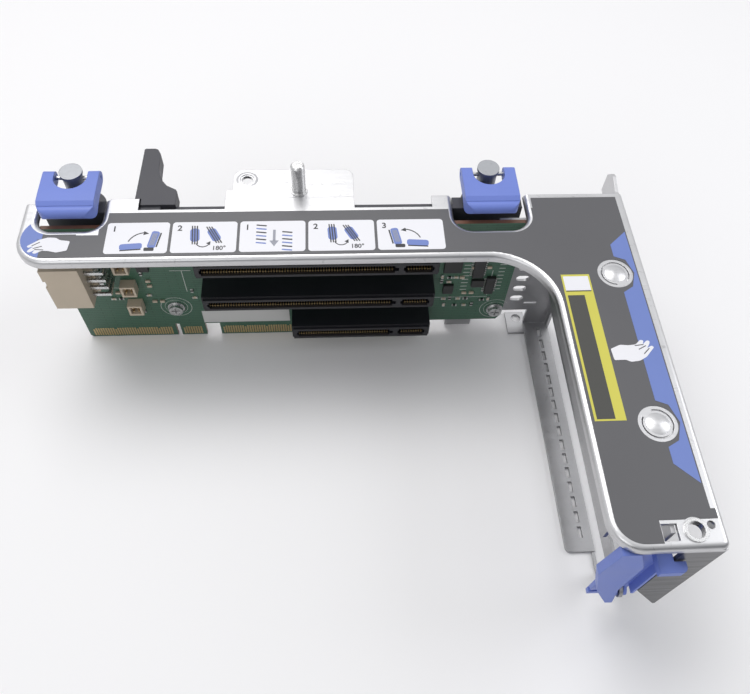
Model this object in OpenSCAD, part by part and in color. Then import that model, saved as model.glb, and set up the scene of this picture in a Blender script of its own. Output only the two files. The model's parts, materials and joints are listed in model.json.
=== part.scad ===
// Riser cage bracket: an L-shaped sheet steel cage top that carries a riser
// board with three card slots, two half-turn latches and a card bracket lever.
// X runs along the long arm from its free end, Y runs away from the card bay
// from the front face of the long arm, Z runs up from the board's card edge.

/* [Sheet steel] */
// length of the cage along the riser board
plate_len = 215.6; // [215:0.2:217]
// depth of the long arm, front to back
arm_d = 28.6; // [28:0.2:31]
// how far the short arm reaches out over the card ends
leg_len = 104.4; // [104:0.2:112]
// width of the short arm
leg_w = 33; // [32.6:0.1:33.4]
// height of the sheet's top face
top_z = 69.5; // [69:0.1:71]
// thickness of the steel sheet
sheet_t = 1.2; // [1:0.05:1.3]
// outer radius of the rolled lip
lip_r = 1.8; // [1.6:0.05:1.9]
// total height of the rolled lip
lip_h = 3.4; // [3:0.1:4]
// radius of the inner corner between the arms
inner_r = 21; // [18:0.5:24]
// radius of the corner at the near end of the short arm
near_r = 9.5; // [8:0.1:11]
// radius of the rounded free end of the long arm
end_r = 11; // [10:0.1:11.6]
// depth of the flange along the outer side
side_flange = 12; // [9:0.5:16]

/* [Latch notches] */
// distance of the left latch from the free end
latch_left_x = 16.7; // [16.6:0.1:17]
// distance of the right latch from the free end
latch_right_x = 165.1; // [164.6:0.1:165.6]
// how far behind the front face the latches stand
latch_y = 34.6; // [34.4:0.1:35.6]
// half width of the left notch
notch_left_hw = 11; // [10.6:0.1:11.1]
// half width of the right notch
notch_right_hw = 13.3; // [12.8:0.1:13.6]
// front wall of the left notch
notch_left_y = 14.4; // [14:0.1:15]
// front wall of the right notch
notch_right_y = 12.2; // [12:0.1:14]
// radius in the corners of the notches
notch_r = 5.5; // [4.5:0.1:6]

/* [Rear tab] */
// left edge of the rear tab
tab_x0 = 72.3; // [71:0.1:74]
// right edge of the rear tab
tab_x1 = 116.3; // [114:0.1:117]
// how far the tab reaches behind the front face
tab_y = 43.3; // [42.8:0.1:46]
// how much lower the tab lies than the plate
tab_drop = 0.6; // [0.4:0.05:0.7]
// radius of the round hole in the tab
tab_hole_r = 2; // [1.8:0.05:2.5]
// radius of the guide pin
guide_r = 2.5; // [2.2:0.05:3]
// height of the guide pin's tip
guide_top = 81.6; // [79:0.2:84]

/* [Riser board] */
// left end of the board
board_x0 = 5.2; // [4.6:0.1:6]
// right end of the board
board_x1 = 179; // [178.6:0.1:179.4]
// front face of the board
board_y = 16.85; // [16.8:0.05:17.4]
// board thickness
board_t = 1.6; // [1.5:0.05:1.8]
// how far the board's top edge stays below the sheet's top face
board_drop = 2.3; // [2.3:0.1:4]
// lower edge of the right end of the board
board_step_z = 7; // [6:0.1:8]
// right end of the card edge
edge_x1 = 143; // [138:0.5:145]
// depth of the two gaps in the card edge
edge_gap_h = 8; // [7:0.1:8.6]

/* [Card slots] */
// length of the two long slots
slot_long = 89; // [88:0.1:89.4]
// length of the short slot
slot_short = 56; // [55:0.1:56.4]
// left end of the long slots
slot_x0 = 58; // [57.6:0.1:58.4]
// height of a slot body
slot_h = 7.5; // [7:0.1:8]
// depth of a slot body off the board
slot_d = 11.2; // [10.8:0.05:11.3]
// distance between card planes
slot_pitch = 20.32; // [20:0.02:20.6]
// height of the lowest card plane
slot_z0 = 14.95; // [14.5:0.05:15.2]
// thickness of a card edge the slots take
card_gap = 1.9; // [1.8:0.05:2.1]

/* [Bracket wall] */
// inner face of the wall the card brackets stand against
wall_x = 200; // [199.8:0.1:200.4]
// height of one card window
window_h = 12.06; // [11:0.02:12.4]
// near end of the card windows
window_y0 = -91; // [-91.5:0.5:-86]
// far end of the card windows
window_y1 = 15.5; // [14:0.5:16]
// width of the flange at the foot of the wall
flange_w = 9.5; // [9:0.1:10]
// depth of the skirt beside the inner lip
skirt_h = 12; // [10:0.5:14]
// number of slots in the foot flange
vent_n = 16; // [10:1:16]

/* [Latches] */
// radius of the latch head
head_r = 4; // [3.8:0.05:4.2]
// height of the latch head's top
head_top = 77.3; // [77:0.1:78]
// height of the handle's hinge pin
pivot_z = 74.2; // [74:0.05:74.4]
// width of a latch handle
handle_w = 19.6; // [19.2:0.1:20]
// reach of a handle from its hinge pin
handle_reach = 17.6; // [17:0.1:18.4]
// thickness of a handle
handle_t = 4.6; // [4.4:0.1:4.8]
// radius of a latch shaft
shaft_r = 2.5; // [2.3:0.05:2.6]
// radius of a latch barrel
barrel_r = 8; // [7.6:0.1:8.4]

/* [Bracket lever] */
// width of the bracket lever
lever_w = 18.4; // [18:0.1:18.6]
// thickness of the lever's face
lever_t = 1.6; // [1.4:0.1:1.7]
// height of the lever's hinge pin
hinge_z = 17.4; // [17:0.1:18.5]
// height of the thumb tab's top
thumb_z = 59.5; // [57:0.5:62]
// reach of the thumb tab
thumb_d = 3.6; // [2.8:0.1:3.8]

/* [Hidden] */
$fn = 48;
e = 0.01;
run = 0.05;
gap = 0.35;
// the frame's origin: the locating hole in the foot, at floor level
foot_x = wall_x - flange_w - 2.6;
foot_y = board_y + board_t + 2.6;
low_lip = 2;
inner_x = plate_len - leg_w;
arc_x = inner_x - inner_r;
under_z = top_z - sheet_t;
tab_top = top_z - tab_drop;
board_top = top_z - board_drop;
board_back = board_y + board_t;
slot_front = board_y - slot_d;
end_y = -leg_len;
carrier_y = 24.4;
carrier_t = 2.3;
carrier_top = top_z - 2.3;
hinge_y = end_y + 3.6;
film = 0.16;
ink = 0.05;
house_top = 60;
house_low = 32;
ring_x = plate_len - 9;
ring_y = end_y + 5.2;
ring_flange = 3.5;
tail_x0 = 18.2;
tail_x1 = 19.6;
screw_left = [44.5, 20];
screw_right = [175.4, 14.6];
lever_x1 = plate_len - 12.9;
lever_x0 = lever_x1 - lever_w;

// [all, top_plate, bracket_wall, rear_carrier, riser_board, left_handle]

steel = [0.80, 0.81, 0.82];
zinc = [0.72, 0.73, 0.74];
board_green = [0.09, 0.24, 0.17];
slot_black = [0.07, 0.07, 0.09];
carrier_grey = [0.17, 0.17, 0.19];
latch_blue = [0.33, 0.39, 0.66];
label_grey = [0.34, 0.34, 0.36];
beige = [0.72, 0.66, 0.55];
gold = [0.62, 0.47, 0.22];

// moves a piece so that the origin lies in the foot's locating hole
module seat() translate([-foot_x, -foot_y, 0]) children();

// ---------- sheet steel helpers ----------

// section of the rolled lip: x runs inward from the outer face, y runs up
module lip_section(h) {
  difference() {
    intersection() {
      translate([lip_r, -lip_r]) circle(r = lip_r);
      translate([0, -lip_r]) square([lip_r, lip_r]);
    }
    translate([lip_r, -lip_r]) circle(r = lip_r - sheet_t);
  }
  translate([0, -h]) square([sheet_t, h - lip_r]);
  translate([lip_r, -sheet_t]) square([0.3, sheet_t]);
}

// straight lip along +X whose outer face looks along -Y
module lip_bar(l, h = lip_h) {
  translate([0, 0, top_z]) rotate([90, 0, 90]) linear_extrude(l) lip_section(h);
}

// lip around an outside corner, centre of the corner at the origin
module lip_out(r, a0, h = lip_h) {
  translate([0, 0, top_z]) rotate([0, 0, a0]) rotate_extrude(angle = 90)
    translate([r, 0]) mirror([1, 0]) lip_section(h);
}

// lip around an inside corner, centre of the corner at the origin
module lip_in(r, a0, h = lip_h) {
  translate([0, 0, top_z]) rotate([0, 0, a0]) rotate_extrude(angle = 90)
    translate([r, 0]) lip_section(h);
}

// outline of a notch open to the back, grown by g
module notch_2d(x0, x1, y0, r, g) {
  translate([x0 - g, y0 + r]) square([x1 - x0 + 2 * g, 60]);
  translate([x0 + r, y0 - g]) square([x1 - x0 - 2 * r, 60]);
  translate([x0 + r, y0 + r]) circle(r = r + g);
  translate([x1 - r, y0 + r]) circle(r = r + g);
}

// lip along a notch, from its left wall round to its right wall
module notch_lip(x0, x1, y0, r, back0, back1) {
  translate([x0, y0 + r, 0]) rotate([0, 0, 90]) lip_bar(back0 - y0 - r, low_lip);
  translate([x1, back1, 0]) rotate([0, 0, -90]) lip_bar(back1 - y0 - r, low_lip);
  translate([x1 - r, y0, 0]) rotate([0, 0, 180]) lip_bar(x1 - x0 - 2 * r, low_lip);
  translate([x0 + r, y0 + r, 0]) lip_in(r, 180, low_lip);
  translate([x1 - r, y0 + r, 0]) lip_in(r, 270, low_lip);
}

nl0 = latch_left_x - notch_left_hw;
nl1 = latch_left_x + notch_left_hw;
nr0 = latch_right_x - notch_right_hw;
nr1 = latch_right_x + notch_right_hw;
left_back = arm_d - 2;
recess_y = 23.2;

// flat part of the sheet, lips left out
module flat_2d() {
  difference() {
    union() {
      translate([end_r, lip_r]) square([plate_len - lip_r - end_r, arm_d - lip_r]);
      translate([lip_r, end_r]) square([end_r, left_back - end_r]);
      translate([end_r, end_r]) circle(r = end_r - lip_r);
      translate([inner_x + lip_r, end_y + near_r])
        square([leg_w - 2 * lip_r, leg_len - near_r + lip_r + 1]);
      translate([inner_x + near_r, end_y + lip_r])
        square([leg_w - near_r - 2.2, near_r]);
      translate([inner_x + near_r, end_y + near_r]) circle(r = near_r - lip_r);
      translate([plate_len - 8, end_y + 2.2]) square([8 - lip_r, 8]);
      difference() {
        translate([arc_x, -inner_r]) square([inner_r + lip_r + 1, inner_r + lip_r + 1]);
        translate([arc_x, -inner_r]) circle(r = inner_r + lip_r);
        translate([arc_x - 30, -inner_r - 60]) square([30 + inner_r + lip_r, 60]);
        translate([arc_x - 60, -inner_r - 1]) square([60, inner_r + 1 + lip_r]);
      }
    }
    notch_2d(nl0, nl1, notch_left_y, notch_r, lip_r);
    notch_2d(nr0, nr1, notch_right_y, notch_r + 1, lip_r);
    // open recesses either side of the tab
    translate([39.6, recess_y]) square([tab_x0 - 2.3 - 39.6, 20]);
    translate([tab_x1, recess_y]) square([144.4 - tab_x1, 20]);
    // square window, ring and small hole over the bracket lever
    translate([inner_x + 14.4, end_y + 2.4]) square([4.6, 4.9]);
    translate([ring_x, ring_y]) circle(r = 3);
    translate([plate_len - 4.3, end_y + 6.6]) circle(r = 1.2);
    dome_slits();
    translate([guide_x, guide_y]) circle(r = guide_r);
  }
}

dome_x = plate_len - 11.2;
dome_y1 = -8.8;
dome_y2 = -66.2;
guide_x = (tab_x0 + tab_x1) / 2 + 2;
guide_y = 32.4;

module c_slit(a) {
  difference() {
    circle(r = 4.9);
    circle(r = 4.45);
    rotate(a) polygon([[0, 0], [9, -4], [9, 4]]);
  }
}

module dome_slits() {
  translate([dome_x, dome_y1]) c_slit(-70);
  translate([dome_x, dome_y2]) c_slit(125);
}

module dome() {
  intersection() {
    translate([0, 0, top_z + 0.9 - 8]) difference() {
      sphere(r = 8);
      sphere(r = 8 - 0.9);
    }
    translate([0, 0, top_z - 1.1]) cylinder(r = 3.6, h = 3);
  }
}

module tab_2d() {
  difference() {
    union() {
      translate([tab_x0, arm_d - 1.2]) square([tab_x1 - tab_x0, tab_y - arm_d + 1.2 - 3.5]);
      translate([tab_x0 + 3.5, arm_d]) square([tab_x1 - tab_x0 - 7, tab_y - arm_d]);
      translate([tab_x0 + 3.5, tab_y - 3.5]) circle(r = 3.5);
      translate([tab_x1 - 3.5, tab_y - 3.5]) circle(r = 3.5);
      translate([tab_x0 - 2.3, arm_d - 1.2]) square([3, 5.6]);
    }
    translate([tab_x0 + 5, tab_y - 5.2]) circle(r = tab_hole_r);
    translate([guide_x, guide_y]) circle(r = guide_r);
  }
}

// end wall of the cage: a bent leg whose foot is cut at a slant
module end_wall() {
  translate([0, end_y + sheet_t, 0]) rotate([90, 0, 0]) linear_extrude(sheet_t)
    polygon([[plate_len - 12.5, 27], [plate_len - 1.4, 9.4], [plate_len - 0.6, 9.4],
      [plate_len - 0.6, top_z - lip_r], [plate_len - 12.5, top_z - lip_r]]);
}

// flange along the outer side, with an ear that reaches behind the cage
module side_wall() {
  translate([plate_len - sheet_t, 0, 0]) rotate([90, 0, 90]) linear_extrude(sheet_t)
    polygon([[end_y + 2.2, top_z - side_flange], [arm_d, top_z - side_flange],
      [arm_d + 2, top_z - side_flange - 2], [arm_d + 14, top_z - side_flange],
      [arm_d + 14, top_z - 4], [arm_d + 11.4, top_z - 1.2], [arm_d + 9.4, top_z - 0.4],
      [arm_d + 3, top_z - 2.4],
      [arm_d, top_z - lip_r], [end_y + 2.2, top_z - lip_r]]);
}

module top_plate() {
  seat() color(steel) difference() {
    union() {
      translate([0, 0, under_z]) linear_extrude(sheet_t) flat_2d();
      // tab, pressed a little lower than the plate
      translate([0, 0, tab_top - sheet_t]) linear_extrude(sheet_t) tab_2d();
      translate([tab_x0 + 5, tab_y - 5.2, tab_top]) difference() {
        cylinder(r1 = 4, r2 = 3.2, h = 0.35);
        translate([0, 0, -1]) cylinder(r = tab_hole_r + 0.6, h = 3);
      }
      // lips
      translate([end_r, 0, 0]) lip_bar(arc_x - end_r);
      translate([end_r, end_r, 0]) lip_out(end_r, 180);
      translate([0, left_back, 0]) rotate([0, 0, -90]) lip_bar(left_back - end_r);
      translate([arc_x, -inner_r, 0]) lip_in(inner_r, 0);
      translate([inner_x, -inner_r, 0]) rotate([0, 0, -90])
        lip_bar(leg_len - inner_r - near_r);
      translate([inner_x + near_r, end_y + near_r, 0]) lip_out(near_r, 180);
      translate([inner_x + near_r, end_y, 0]) lip_bar(leg_w - near_r - 2.2);
      translate([plate_len - 2.2, end_y + 2.2, 0]) lip_out(2.2, 270, 6);
      translate([plate_len, end_y + 2.2, 0]) rotate([0, 0, 90])
        lip_bar(arm_d - end_y - 2.2, 6);
      notch_lip(nl0, nl1, notch_left_y, notch_r, left_back, arm_d - 0.6);
      notch_lip(nr0, nr1, notch_right_y, notch_r + 1, arm_d, arm_d);
      side_wall();
      end_wall();
      translate([dome_x, dome_y1, 0]) dome();
      translate([dome_x, dome_y2, 0]) dome();
    }
  }
}

// ---------- bracket wall ----------

wall_end = end_y + 5;
strip_end = end_y + 21;
flange_y1 = 16.4;

module wall_side_2d() {
  difference() {
    union() {
      translate([wall_end, 0]) square([board_back + sheet_t - wall_end, under_z]);
      // ear that carries the lever's hinge pin
      translate([hinge_y, hinge_z - 3]) square([wall_end - hinge_y + 1, 6]);
      translate([hinge_y, hinge_z]) circle(r = 3);
    }
    for (i = [0:2]) translate([window_y0, slot_z0 - 14.3 + i * slot_pitch])
      square([window_y1 - window_y0, window_h]);
    translate([hinge_y, hinge_z]) circle(r = 1);
    translate([wall_end - 1, -1]) square([4.9, 10]);
  }
}

module bracket_wall() {
  seat() color(zinc) difference() {
    union() {
      translate([wall_x, 0, 0]) rotate([90, 0, 90]) linear_extrude(sheet_t) wall_side_2d();
      // flange under the top plate
      translate([inner_x + 1.7, end_y + near_r, under_z - sheet_t])
        cube([wall_x + sheet_t - inner_x - 1.7, board_back + sheet_t - end_y - near_r, sheet_t]);
      translate([inner_x + 6, end_y + 2.6, under_z - sheet_t]) cube([8.2, near_r, sheet_t]);
      // foot flange with its row of slots
      translate([wall_x - flange_w + 2, strip_end, 0])
        cube([flange_w + sheet_t - 2, board_back + sheet_t - strip_end, sheet_t]);
      translate([wall_x - flange_w, strip_end + 2, 0]) cube([3, board_back + sheet_t - strip_end - 2, sheet_t]);
      translate([wall_x - flange_w + 2, strip_end + 2, 0]) cylinder(r = 2, h = sheet_t);
      // skirt that hangs beside the inner lip
      translate([inner_x + 1.7, end_y + near_r - 1.4, top_z - skirt_h])
        cube([sheet_t, board_back - end_y - near_r + 1.4, skirt_h - sheet_t]);
      translate([wall_x - flange_w - 7.1, board_back - 5.2, 0]) cube([8, 10.9, sheet_t]);
      // upright web behind the end of the board
      translate([169, board_back, 11]) cube([wall_x + sheet_t - 169, sheet_t, top_z - 13.6]);
      translate([inner_x, board_back, 11]) cube([wall_x + sheet_t - inner_x, sheet_t, under_z - 11]);
      translate([wall_x - flange_w, board_back, 0]) cube([flange_w, sheet_t, 12]);
    }
    for (i = [0:vent_n - 1])
      translate([wall_x - 3.8, flange_y1 - 5.4 - i * (flange_y1 - strip_end - 10.5) / (vent_n - 1), -1])
        cube([1.6, 4.3, 4]);
    translate([foot_x, foot_y, -1]) cylinder(r = 1.95, h = 4);
    for (z = [19.4, 26, 32.5, 39]) translate([0, board_back - 1, z]) rotate([-90, 0, 0])
      linear_extrude(4) {
        translate([183.2, 0]) circle(r = 1.7);
        translate([185.2, 0]) circle(r = 1.7);
        translate([183.2, -1.7]) square([2, 3.4]);
      }
    translate([188, board_back - 1, 15.2]) cube([5.5, 4, 1.3]);
    translate([screw_right[0], board_back - 1, screw_right[1]]) rotate([-90, 0, 0])
      cylinder(r = 1.5, h = 5);
  }
}

module guide_pin() {
  seat() color(steel) translate([guide_x, guide_y, 0]) {
    translate([0, 0, tab_top - sheet_t]) cylinder(r = guide_r, h = guide_top - tab_top + sheet_t - 0.7);
    translate([0, 0, guide_top - 0.7]) cylinder(r1 = guide_r, r2 = guide_r - 0.6, h = 0.7);
    translate([0, 0, tab_top]) cylinder(r = guide_r + 0.6, h = 0.5);
  }
}

module ring_bushing() {
  seat() color(zinc) translate([ring_x, ring_y, 0]) difference() {
    union() {
      translate([0, 0, under_z - 1]) cylinder(r = 3, h = sheet_t + 1.5);
      translate([0, 0, top_z]) cylinder(r = ring_flange, h = 0.5);
    }
    translate([0, 0, under_z - 2]) cylinder(r = 2.45, h = 6);
  }
}

// ---------- rear carrier and board ----------

module house(x, hw) {
  translate([x, latch_y, house_low]) cylinder(r = barrel_r, h = house_top - house_low);
  translate([x - 7, carrier_y + 0.6, house_low + 4]) cube([14, latch_y - carrier_y - 0.6, house_top - house_low - 4]);
  translate([x - hw, carrier_y, house_low + 8]) cube([2 * hw, 5.4, carrier_top - house_low - 8]);
  translate([x - hw, latch_y - 4, house_low + 8]) cube([2 * hw, 3, house_top - house_low - 9]);
  translate([x - hw, carrier_y + 5, house_low + 8]) cube([2, latch_y - carrier_y - 5, house_top - house_low - 9]);
  translate([x + hw - 2, carrier_y + 5, house_low + 8]) cube([2, latch_y - carrier_y - 5, house_top - house_low - 9]);
}

module house_bore(x) {
  translate([x, latch_y, house_low - 1]) cylinder(r = shaft_r + run, h = 40);
  translate([x, latch_y, house_low + 4]) cylinder(r = 4.5, h = house_top - house_low - 7);
}

module rear_carrier() {
  seat() color(carrier_grey) difference() {
    union() {
      translate([6, carrier_y, 38]) cube([164, carrier_t, carrier_top - 38]);
      translate([39, carrier_y, 13]) cube([13, carrier_t, 27]);
      translate([nl1 + 2.6, carrier_y, 60]) cube([7, carrier_t, under_z - 60]);
      translate([145.8, carrier_y, 60]) cube([3.6, carrier_t, under_z - 60]);
      house(latch_left_x, notch_left_hw - 0.5);
      house(latch_right_x, notch_right_hw - 0.5);
      // support fin that reaches back
      translate([0, 0, carrier_top - 3.6]) linear_extrude(5.6)
        polygon([[38.4, 54.3], [38.9, 54.7], [42.3, 54.7], [43.4, 54.2], [44.6, 51.8], [44.8, 44.5],
          [45.4, 40.8], [46.6, 37.9], [48.4, 35.4], [51.9, 33.3], [52.4, 32.4], [52.4, 25.9],
          [40.1, 25.9], [40.1, arm_d + gap], [37.9, arm_d + gap]]);
      translate([40.1, carrier_y, carrier_top - 3]) cube([7, 3, 4]);
      translate([38.6, carrier_y + 1, carrier_top - 16]) rotate([90, 0, 90]) linear_extrude(2)
        polygon([[0, 0], [4, 0], [26, 10], [29, 14], [0, 14]]);
    }
    house_bore(latch_left_x);
    house_bore(latch_right_x);
    translate([screw_left[0], carrier_y - 1, screw_left[1]]) rotate([-90, 0, 0]) cylinder(r = 1.5, h = 5);
  }
}

module standoff(x, z) {
  translate([x, board_back, z]) rotate([-90, 0, 0]) difference() {
    cylinder(r = 3.2, h = carrier_y - board_back);
    translate([0, 0, -1]) cylinder(r = 1.5, h = carrier_y - board_back + 2);
  }
}

module board_standoffs() {
  seat() color(zinc) {
    standoff(screw_left[0], screw_left[1]);
    standoff(34, 46);
    standoff(150, 46);
  }
}

module riser_board() {
  seat() color(board_green) difference() {
    translate([0, board_back, 0]) rotate([90, 0, 0]) linear_extrude(board_t)
      polygon([[board_x0, 1], [board_x0 + 1, 0], [edge_x1 - 1, 0], [edge_x1, 1],
        [edge_x1, board_step_z - 1], [edge_x1 + 1, board_step_z], [board_x1 - 1.8, board_step_z],
        [board_x1, board_step_z + 3.4], [board_x1, board_top - 1], [board_x1 - 1, board_top],
        [board_x0 + 1, board_top], [board_x0, board_top - 1]]);
    translate([41.7, 0, -1]) cube([1.8, 40, edge_gap_h + 1]);
    translate([54, 0, -1]) cube([6.1, 40, edge_gap_h + 1]);
    for (s = [screw_left, screw_right]) translate([s[0], 0, s[1]]) rotate([-90, 0, 0])
      cylinder(r = 1.5, h = 40);
  }
}

module edge_contacts() {
  seat() color(gold) for (y = [board_y - 0.06, board_back]) {
    translate([board_x0 + 2, y, 0.8]) cube([41.7 - board_x0 - 3, 0.06, 5]);
    translate([44.5, y, 0.8]) cube([8.5, 0.06, 5]);
    translate([61.1, y, 0.8]) cube([edge_x1 - 63.1, 0.06, 5]);
  }
}

module card_slot(l, i) {
  z = slot_z0 + i * slot_pitch;
  seat() color(slot_black) difference() {
    union() {
      translate([slot_x0 + slot_long - l, slot_front + 1.2, z - slot_h / 2])
        cube([l, slot_d - 1.2, slot_h]);
      translate([slot_x0 + slot_long - l + 0.6, slot_front, z - slot_h / 2 + 0.6])
        cube([l - 1.2, 2, slot_h - 1.2]);
    }
    translate([slot_x0 + slot_long - l + 2, slot_front - 1, z - card_gap / 2])
      cube([l - 17, 9, card_gap]);
    translate([slot_x0 + slot_long - 13.2, slot_front - 1, z - card_gap / 2])
      cube([11.2, 9, card_gap]);
    // seats of the contact rows
    for (s = [-1, 1]) for (p = [[l - 2.6, l - 19], [12.6, 10]])
      translate([slot_x0 + slot_long - p[0], slot_front - 1, z + s * 1.45 - 0.5])
        cube([p[1], 6.5, 1]);
  }
}

module upper_slot() card_slot(slot_long, 2);
module middle_slot() card_slot(slot_long, 1);
module lower_slot() card_slot(slot_short, 0);

module slot_contacts() {
  seat() color(gold) for (c = [[slot_long, 2], [slot_long, 1], [slot_short, 0]])
    for (s = [-1, 1]) for (p = [[c[0] - 2.6, c[0] - 19], [12.6, 10]])
      translate([slot_x0 + slot_long - p[0], slot_front + 1.6, slot_z0 + c[1] * slot_pitch + s * 1.5 - 0.35])
        cube([p[1], 3.9, 0.7]);
}

module power_connector() {
  seat() color(beige) difference() {
    union() {
      translate([4.6, 5, 36.4]) cube([tail_x0 - 4.6, board_y - 5, 22]);
      translate([17, board_y - 4, 36.4]) cube([tail_x1 - 17, 4, 22]);
    }
    // mouths look towards the free end
    for (i = [0:4]) for (y = [6.2, 11]) translate([3, y, 37.8 + i * 4.1]) cube([8, 3.4, 2.9]);
    translate([3, 4, 49.2]) cube([2.4, 3, 3.4]);
  }
}

module power_pins() {
  seat() color(gold) for (i = [0:4]) translate([0, 0, 39.3 + i * 4.1]) {
    translate([tail_x0, 8.4, 0]) cube([25 - tail_x0, 1, 1.3]);
    translate([24, 8.4, 0]) cube([1, board_y - 8.4, 1.3]);
    translate([tail_x1, 13.4, 0]) cube([21.4 - tail_x1, 0.8, 1.3]);
    translate([20.6, 13.4, 0]) cube([0.8, board_y - 13.4, 1.3]);
  }
}

module signal_headers() {
  seat() color(beige) for (z = [48.8, 35.2, 23]) translate([29.4, board_y, z]) rotate([90, 0, 0])
    difference() {
      translate([-2.8, -3, 0]) cube([5.6, 6, 4]);
      translate([-1.9, -2.1, 1]) cube([3.8, 4.2, 4]);
    }
}

module header_pins() {
  seat() color(gold) for (z = [48.8, 35.2, 23]) for (x = [-1, 1]) for (k = [-1, 1])
    translate([29.4 + x - 0.25, board_y - 3.4, z + k - 0.25]) cube([0.5, 2.4, 0.5]);
}

module board_chips() {
  seat() color(slot_black) {
    translate([151, board_y - 1.1, 40]) cube([7, 1.1, 7]);
    translate([163, board_y - 1.3, 31]) cube([5, 1.3, 4]);
    translate([152, board_y - 1.3, 27]) cube([4, 1.3, 5]);
    translate([34.4, board_y - 1.3, 44]) cube([4.4, 1.3, 9]);
  }
}

module board_parts() {
  seat() color(beige) {
    for (p = [[162, 42], [165, 42], [168, 42], [160, 26], [163, 26], [158, 36], [170, 30],
        [36, 34], [36, 37], [36, 24], [39, 24], [70, 26], [74, 26], [78, 26], [20, 30], [23, 30]])
      translate([p[0], board_y - 0.8, p[1]]) cube([1.8, 0.8, 1]);
    translate([166, board_y - 2.6, 52]) cube([6.4, 2.6, 3.6]);
  }
}

module screw_at(s, back) {
  translate([s[0], board_y - 0.6, s[1]]) rotate([90, 0, 0]) difference() {
    cylinder(r = 2.7, h = 1.8);
    for (a = [0, 90]) rotate(a) translate([-1.7, -0.3, 0.8]) cube([3.4, 0.6, 2]);
  }
  translate([s[0], board_y - 0.7, s[1]]) rotate([-90, 0, 0]) cylinder(r = 1.45, h = back - board_y + 0.7);
}

module board_screws() {
  seat() color(steel) {
    screw_at(screw_left, carrier_y + carrier_t);
    screw_at(screw_right, board_back + sheet_t + 1);
  }
}

module screw_washers() {
  seat() color(zinc) for (s = [screw_left, screw_right])
    translate([s[0], board_y, s[1]]) rotate([90, 0, 0]) difference() {
      cylinder(r = 3.4, h = 0.6);
      translate([0, 0, -1]) cylinder(r = 1.45, h = 3);
    }
}

module board_tag() {
  seat() color([0.9, 0.9, 0.88]) translate([54, board_y - 0.15, 8.8]) cube([35.6, 0.15, 8]);
}

module board_foot() {
  seat() color(zinc) difference() {
    translate([156, board_back, 1]) cube([11, 6, 12]);
    translate([158, board_back + 1.6, 0]) cube([7, 6, 10]);
  }
}

// ---------- latches ----------

module latch_shaft(x) {
  seat() color(zinc) translate([x, latch_y, 0]) difference() {
    union() {
      translate([0, 0, house_low - 3]) cylinder(r = shaft_r, h = house_top - house_low + 4);
      translate([0, 0, house_top + gap]) cylinder(r = head_r - 0.5, h = head_top - house_top - gap - 1);
      translate([0, 0, head_top - 1.2]) cylinder(r = head_r, h = 1.2);
      intersection() {
        translate([0, 0, house_low - 8]) cylinder(r = shaft_r, h = 6);
        translate([-1.2, -4, house_low - 8]) cube([2.4, 8, 6]);
      }
    }
    translate([-8, 0, pivot_z]) rotate([0, 90, 0]) cylinder(r = 0.75, h = 16);
  }
}

module latch_spring(x) {
  seat() color(steel) translate([x, latch_y, 0]) rotate_extrude() for (i = [0:19])
    translate([3.5, house_low + 4.62 + i * (house_top - house_low - 8.24) / 19])
      circle(r = 0.62, $fn = 12);
}

module latch_clip(x) {
  seat() color(steel) translate([x, latch_y, house_low - 1.4]) difference() {
    cylinder(r = 4.2, h = 0.8);
    translate([0, 0, -1]) cylinder(r = shaft_r, h = 3);
    translate([-1.2, 0, -1]) cube([2.4, 8, 3]);
  }
}

module latch_hinge_pin(x) {
  seat() color(steel) translate([x - handle_w / 2 + 0.3, latch_y, pivot_z]) rotate([0, 90, 0])
    cylinder(r = 0.75, h = handle_w - 0.6);
}

// side view of a handle: thick at the hinge, falling away to a rounded nose
module handle_side(r) {
  circle(r = r);
  translate([-9, -r]) square([9, handle_t]);
  translate([-handle_reach + r, -1.2]) circle(r = r);
  polygon([[-8.9, r], [-handle_reach + 2 * r, r - 0.15], [-handle_reach + 1.3 * r, r - 1.1],
    [-handle_reach + r, -1.2], [-handle_reach + r, -1.2 - r], [-8.9, -r]]);
}

module latch_handle(x) {
  r = handle_t / 2;
  seat() color(latch_blue) translate([x, latch_y, pivot_z]) difference() {
    intersection() {
      translate([-handle_w / 2, 0, 0]) rotate([90, 0, 90]) linear_extrude(handle_w) handle_side(r);
      translate([0, 0, -6]) linear_extrude(14) {
        translate([-handle_w / 2, -handle_reach + 4]) square([handle_w, handle_reach]);
        translate([-handle_w / 2 + 4, -handle_reach - 1]) square([handle_w - 8, 9]);
        for (s = [-1, 1]) translate([s * (handle_w / 2 - 4), -handle_reach + 4]) circle(r = 4);
      }
    }
    translate([-5.8, -1.8, -6]) cube([11.6, 10, 14]);
    translate([0, -1.8, -6]) cylinder(r = 5.8, h = 14);
    translate([-12, 0, 0]) rotate([0, 90, 0]) cylinder(r = 0.75 + run, h = 24);
  }
}

module left_shaft() latch_shaft(latch_left_x);
module left_spring() latch_spring(latch_left_x);
module left_clip() latch_clip(latch_left_x);
module left_hinge_pin() latch_hinge_pin(latch_left_x);
module left_handle() latch_handle(latch_left_x);
module right_shaft() latch_shaft(latch_right_x);
module right_spring() latch_spring(latch_right_x);
module right_clip() latch_clip(latch_right_x);
module right_hinge_pin() latch_hinge_pin(latch_right_x);
module right_handle() latch_handle(latch_right_x);

// ---------- bracket lever ----------

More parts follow.
